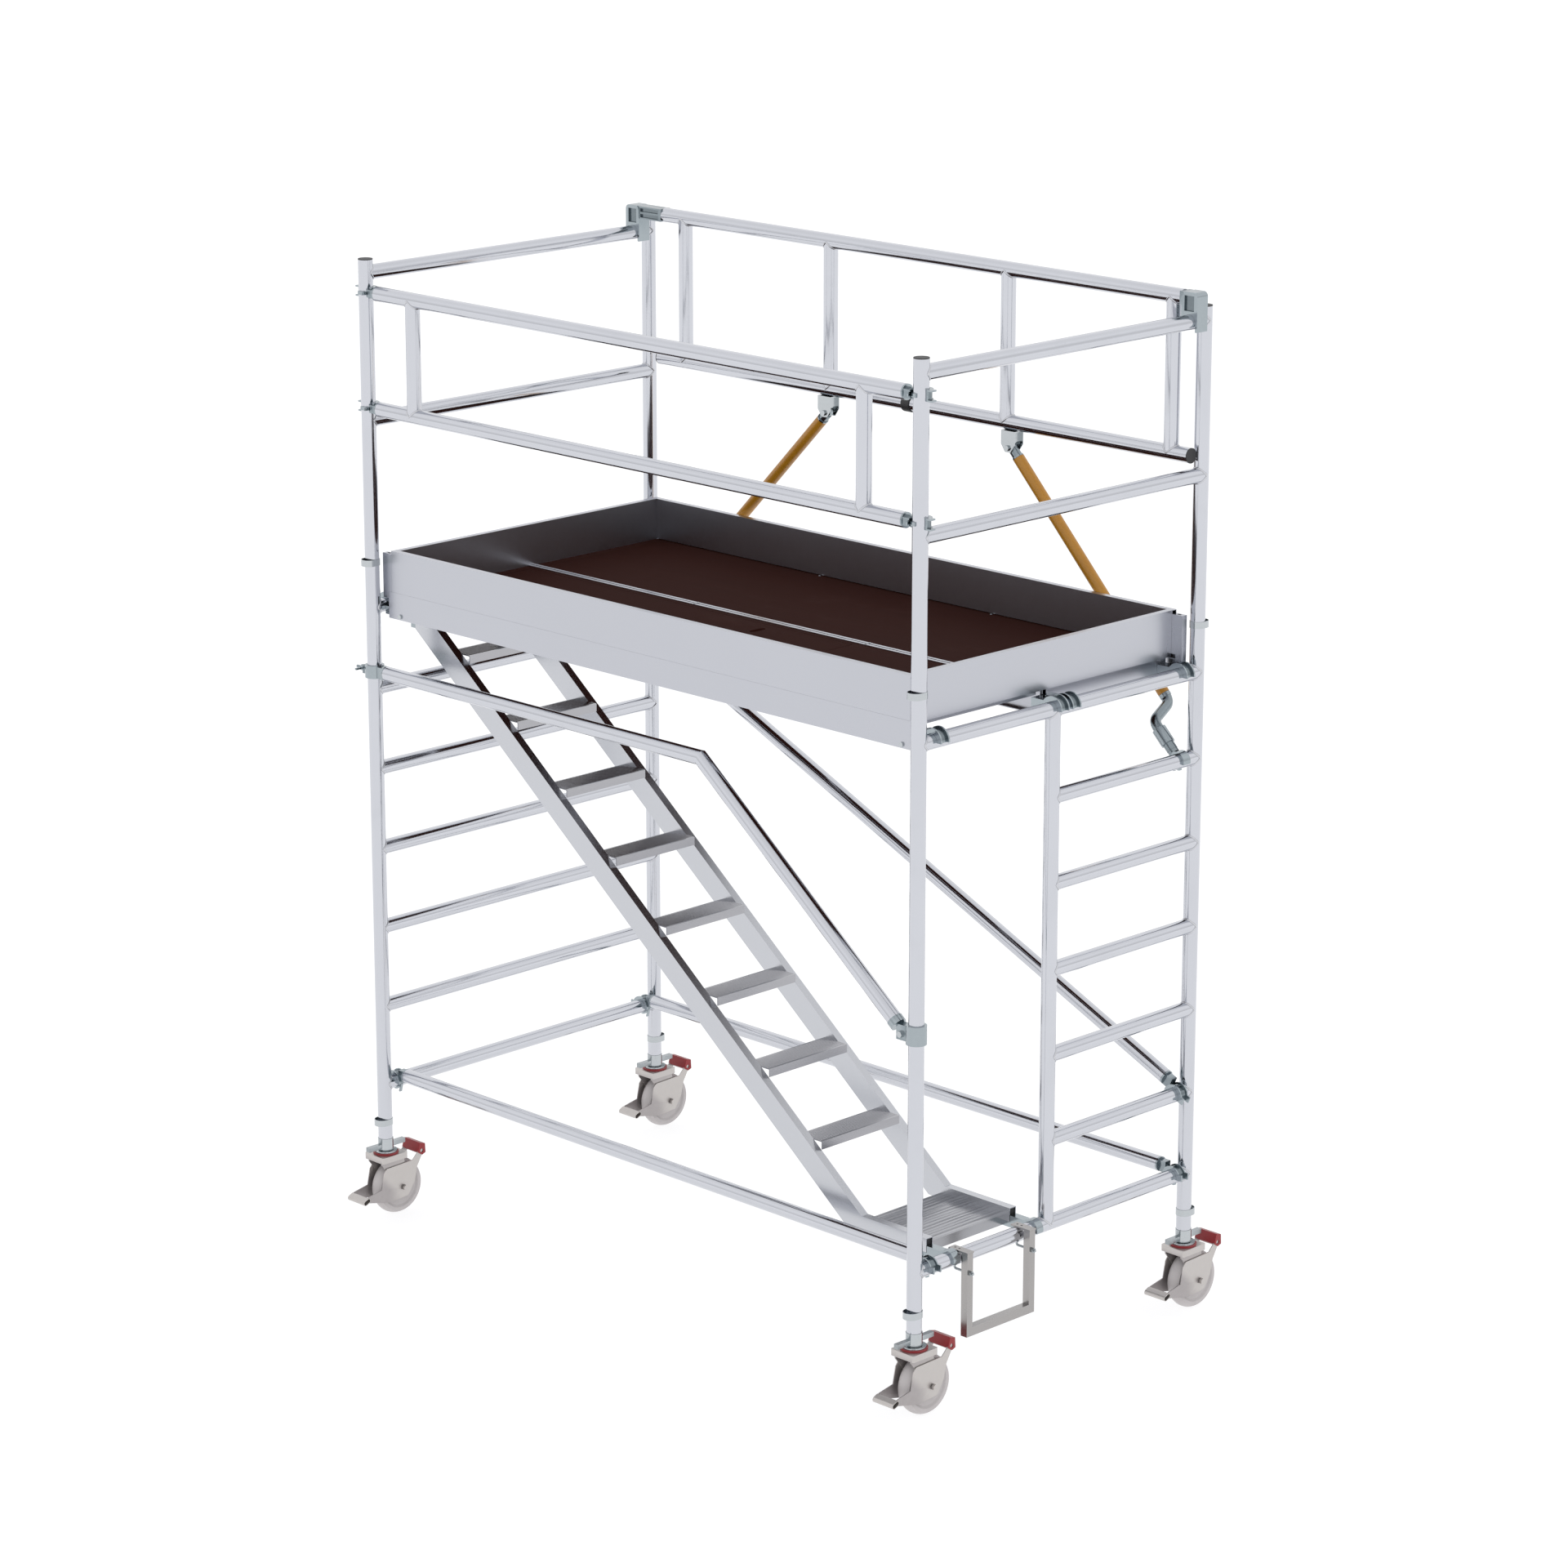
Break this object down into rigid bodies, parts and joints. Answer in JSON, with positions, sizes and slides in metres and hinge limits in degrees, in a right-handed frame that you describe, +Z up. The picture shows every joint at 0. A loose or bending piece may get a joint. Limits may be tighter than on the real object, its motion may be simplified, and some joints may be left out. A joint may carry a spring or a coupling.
{
  "type": "mobile access tower",
  "caption": "Wheeled aluminium access tower with ladder end frames, an inner stairway, a trapdoor deck, toe boards and guardrails.",
  "frame": {"origin": "on the ground under the middle of the bay, where the four wheels stand on Z = 0", "axes": "+X along the bay towards the end frame with the passage, +Y towards the guardrail with the yellow braces, +Z up"},
  "size_m": [2.7293, 1.587, 3.4475],
  "materials": {
    "aluminium": "satin drawn tube",
    "zinc_steel": "blue zinc plate on castings and pressings",
    "galvanised_tube": "satin square tube",
    "pressed_steel": "warm grey plated pressing",
    "wheel_nylon": "light grey moulded nylon",
    "red_plastic": "red moulding",
    "black_plastic": "black moulding",
    "yellow_coat": "yellow powder coat",
    "plywood": "dark brown film-faced plywood"
  },
  "bodies": {
    "tower": {"end_frame_left": "aluminium", "end_frame_right": "aluminium", "guard_frames": "aluminium", "end_plugs": "black_plastic", "spring_clips": "zinc_steel", "claws": "zinc_steel", "claw_latches": "zinc_steel", "front_guardrail": "aluminium", "rear_guardrail": "aluminium", "rear_hook_brackets": "zinc_steel", "brace_brackets": "zinc_steel", "knee_braces": "yellow_coat", "knee_brace_ends": "zinc_steel", "base_braces": "aluminium", "diagonal_brace": "aluminium", "handrail": "aluminium", "handrail_couplers": "zinc_steel", "stair_stringers": "aluminium", "stair_treads": "aluminium", "stair_landing": "aluminium", "stair_hooks": "zinc_steel", "deck_front_frame": "aluminium", "deck_rear_frame": "aluminium", "deck_front_panel": "plywood", "deck_rear_panel": "plywood", "deck_hooks": "zinc_steel", "toe_boards": "aluminium", "toe_corner_clips": "aluminium", "hanging_step": "galvanised_tube", "fasteners": "zinc_steel"},
    "jack_nut_a": {"jack_nut_a": "zinc_steel"},
    "spindle_a": {"spindle_a": "zinc_steel", "seal_a": "red_plastic"},
    "fork_a": {"fork_a": "pressed_steel"},
    "wheel_a": {"wheel_a": "wheel_nylon"},
    "brake_a": {"brake_a": "pressed_steel", "brake_cap_a": "red_plastic"},
    "jack_nut_b": {"jack_nut_b": "zinc_steel"},
    "spindle_b": {"spindle_b": "zinc_steel", "seal_b": "red_plastic"},
    "fork_b": {"fork_b": "pressed_steel"},
    "wheel_b": {"wheel_b": "wheel_nylon"},
    "brake_b": {"brake_b": "pressed_steel", "brake_cap_b": "red_plastic"},
    "jack_nut_c": {"jack_nut_c": "zinc_steel"},
    "spindle_c": {"spindle_c": "zinc_steel", "seal_c": "red_plastic"},
    "fork_c": {"fork_c": "pressed_steel"},
    "wheel_c": {"wheel_c": "wheel_nylon"},
    "brake_c": {"brake_c": "pressed_steel", "brake_cap_c": "red_plastic"},
    "jack_nut_d": {"jack_nut_d": "zinc_steel"},
    "spindle_d": {"spindle_d": "zinc_steel", "seal_d": "red_plastic"},
    "fork_d": {"fork_d": "pressed_steel"},
    "wheel_d": {"wheel_d": "wheel_nylon"},
    "brake_d": {"brake_d": "pressed_steel", "brake_cap_d": "red_plastic"},
    "trapdoor": {"trapdoor": "plywood"},
    "coupler_wing_nut": {"coupler_wing_nut": "zinc_steel"}
  },
  "joints": [
    {"name": "jack_a_turn", "type": "hinge", "parent": "tower", "child": "jack_nut_a", "pos_m": [-1.2825, -0.65, 0.266], "axis": [0, 0, 1], "range_deg": [0, 9000]},
    {"name": "jack_a_lift", "type": "slide", "parent": "tower", "child": "spindle_a", "axis": [0, 0, 1], "range_m": [-0.2, 0]},
    {"name": "caster_a_swivel", "type": "hinge", "parent": "spindle_a", "child": "fork_a", "pos_m": [-1.2825, -0.65, 0.23], "axis": [0, 0, 1], "continuous": true},
    {"name": "wheel_a_roll", "type": "hinge", "parent": "fork_a", "child": "wheel_a", "pos_m": [-1.2825, -0.605, 0.1], "axis": [1, 0, 0], "continuous": true},
    {"name": "brake_a_press", "type": "hinge", "parent": "fork_a", "child": "brake_a", "pos_m": [-1.2825, -0.605, 0.1], "axis": [1, 0, 0], "range_deg": [-6, 8]},
    {"name": "jack_b_turn", "type": "hinge", "parent": "tower", "child": "jack_nut_b", "pos_m": [1.2825, -0.65, 0.266], "axis": [0, 0, 1], "range_deg": [0, 9000]},
    {"name": "jack_b_lift", "type": "slide", "parent": "tower", "child": "spindle_b", "axis": [0, 0, 1], "range_m": [-0.2, 0]},
    {"name": "caster_b_swivel", "type": "hinge", "parent": "spindle_b", "child": "fork_b", "pos_m": [1.2825, -0.65, 0.23], "axis": [0, 0, 1], "continuous": true},
    {"name": "wheel_b_roll", "type": "hinge", "parent": "fork_b", "child": "wheel_b", "pos_m": [1.2825, -0.605, 0.1], "axis": [1, 0, 0], "continuous": true},
    {"name": "brake_b_press", "type": "hinge", "parent": "fork_b", "child": "brake_b", "pos_m": [1.2825, -0.605, 0.1], "axis": [1, 0, 0], "range_deg": [-6, 8]},
    {"name": "jack_c_turn", "type": "hinge", "parent": "tower", "child": "jack_nut_c", "pos_m": [1.2825, 0.65, 0.266], "axis": [0, 0, 1], "range_deg": [0, 9000]},
    {"name": "jack_c_lift", "type": "slide", "parent": "tower", "child": "spindle_c", "axis": [0, 0, 1], "range_m": [-0.2, 0]},
    {"name": "caster_c_swivel", "type": "hinge", "parent": "spindle_c", "child": "fork_c", "pos_m": [1.2825, 0.65, 0.23], "axis": [0, 0, 1], "continuous": true},
    {"name": "wheel_c_roll", "type": "hinge", "parent": "fork_c", "child": "wheel_c", "pos_m": [1.2825, 0.695, 0.1], "axis": [1, 0, 0], "continuous": true},
    {"name": "brake_c_press", "type": "hinge", "parent": "fork_c", "child": "brake_c", "pos_m": [1.2825, 0.695, 0.1], "axis": [1, 0, 0], "range_deg": [-6, 8]},
    {"name": "jack_d_turn", "type": "hinge", "parent": "tower", "child": "jack_nut_d", "pos_m": [-1.2825, 0.65, 0.266], "axis": [0, 0, 1], "range_deg": [0, 9000]},
    {"name": "jack_d_lift", "type": "slide", "parent": "tower", "child": "spindle_d", "axis": [0, 0, 1], "range_m": [-0.2, 0]},
    {"name": "caster_d_swivel", "type": "hinge", "parent": "spindle_d", "child": "fork_d", "pos_m": [-1.2825, 0.65, 0.23], "axis": [0, 0, 1], "continuous": true},
    {"name": "wheel_d_roll", "type": "hinge", "parent": "fork_d", "child": "wheel_d", "pos_m": [-1.2825, 0.695, 0.1], "axis": [1, 0, 0], "continuous": true},
    {"name": "brake_d_press", "type": "hinge", "parent": "fork_d", "child": "brake_d", "pos_m": [-1.2825, 0.695, 0.1], "axis": [1, 0, 0], "range_deg": [-6, 8]},
    {"name": "trapdoor_hinge", "type": "hinge", "parent": "tower", "child": "trapdoor", "pos_m": [-0.38, -0.565, 2.26], "axis": [1, 0, 0], "range_deg": [0, 95]},
    {"name": "wing_nut_turn", "type": "hinge", "parent": "tower", "child": "coupler_wing_nut", "pos_m": [-1.345, -0.65, 1.977], "axis": [1, 0, 0], "continuous": true}
  ],
  "couplings": [
    {"joint": "jack_a_lift", "follows": "jack_a_turn", "m_per_rad": -0.0012732},
    {"joint": "jack_b_lift", "follows": "jack_b_turn", "m_per_rad": -0.0012732},
    {"joint": "jack_c_lift", "follows": "jack_c_turn", "m_per_rad": -0.0012732},
    {"joint": "jack_d_lift", "follows": "jack_d_turn", "m_per_rad": -0.0012732}
  ]
}
